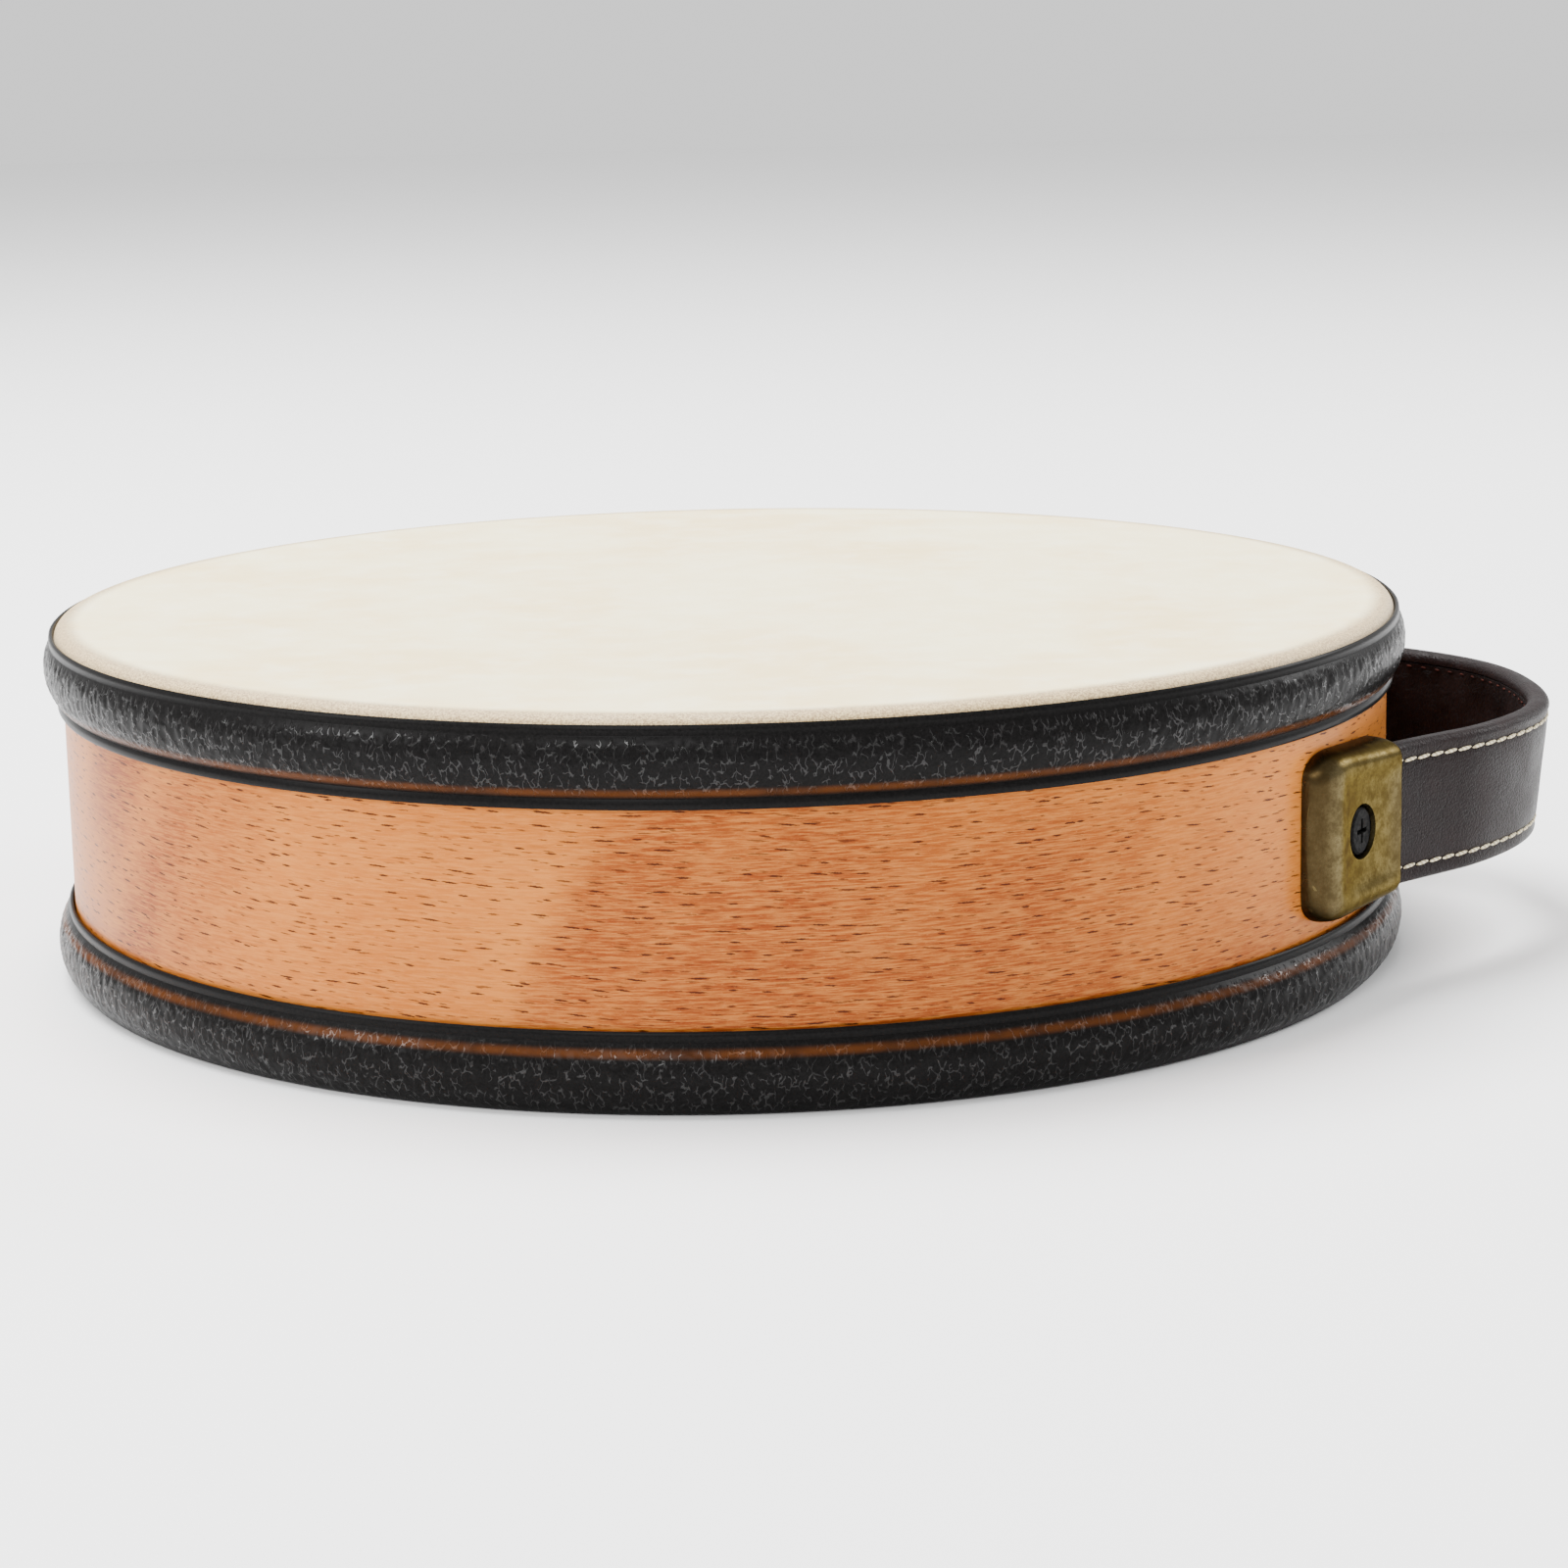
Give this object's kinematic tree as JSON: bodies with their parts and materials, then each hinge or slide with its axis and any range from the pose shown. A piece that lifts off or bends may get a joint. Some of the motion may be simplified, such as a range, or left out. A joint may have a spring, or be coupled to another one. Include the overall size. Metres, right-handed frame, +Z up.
{
  "type": "hand drum",
  "caption": "Round frame drum with a stretched skin head, moulded rim bands and a flexible leather strap handle held by screwed metal end caps.",
  "frame": {"origin": "the drum's axis at the plane the lower rim stands on", "axes": "+Z up along the drum's axis through the skin, +X towards the strap handle, +Y to the rear bracket"},
  "size_m": [0.2872, 0.2586, 0.0667],
  "materials": {
    "beech": "gloss lacquered bent beech with short dark flecks",
    "skin": "natural undyed skin, matt with a suede-like edge",
    "rim": "black moulded band with a raised wrinkle and a brown rubbed line",
    "bracket": "antique brass plated die casting, mottled",
    "screw": "black oxide",
    "steel": "zinc plated",
    "leather": "dark brown grained leather with wrapped edges",
    "core": "fibre board, hidden",
    "backing": "dark brown smooth lining leather",
    "thread": "cream twisted thread"
  },
  "bodies": {
    "drum": {"shell": "beech", "drum_skin": "skin", "upper_rim": "rim", "lower_rim": "rim", "front_bracket": "bracket", "rear_bracket": "bracket", "front_screw": "screw", "rear_screw": "screw", "front_washer": "steel", "rear_washer": "steel", "front_nut": "steel", "rear_nut": "steel", "front_tail_leather": "leather", "rear_tail_leather": "leather", "front_tail_core": "core", "rear_tail_core": "core", "front_tail_backing": "backing", "rear_tail_backing": "backing"},
    "handle": {"handle_leather": "leather", "handle_core": "core", "handle_backing": "backing", "upper_stitching": "thread", "lower_stitching": "thread"}
  },
  "joints": [
    {"name": "handle_flex", "type": "hinge", "parent": "drum", "child": "handle", "pos_m": [0.12061, 0, 0.0324], "axis": [0, 1, 0], "range_deg": [-15, 15], "stiffness_Nm_per_rad": 0.8}
  ]
}
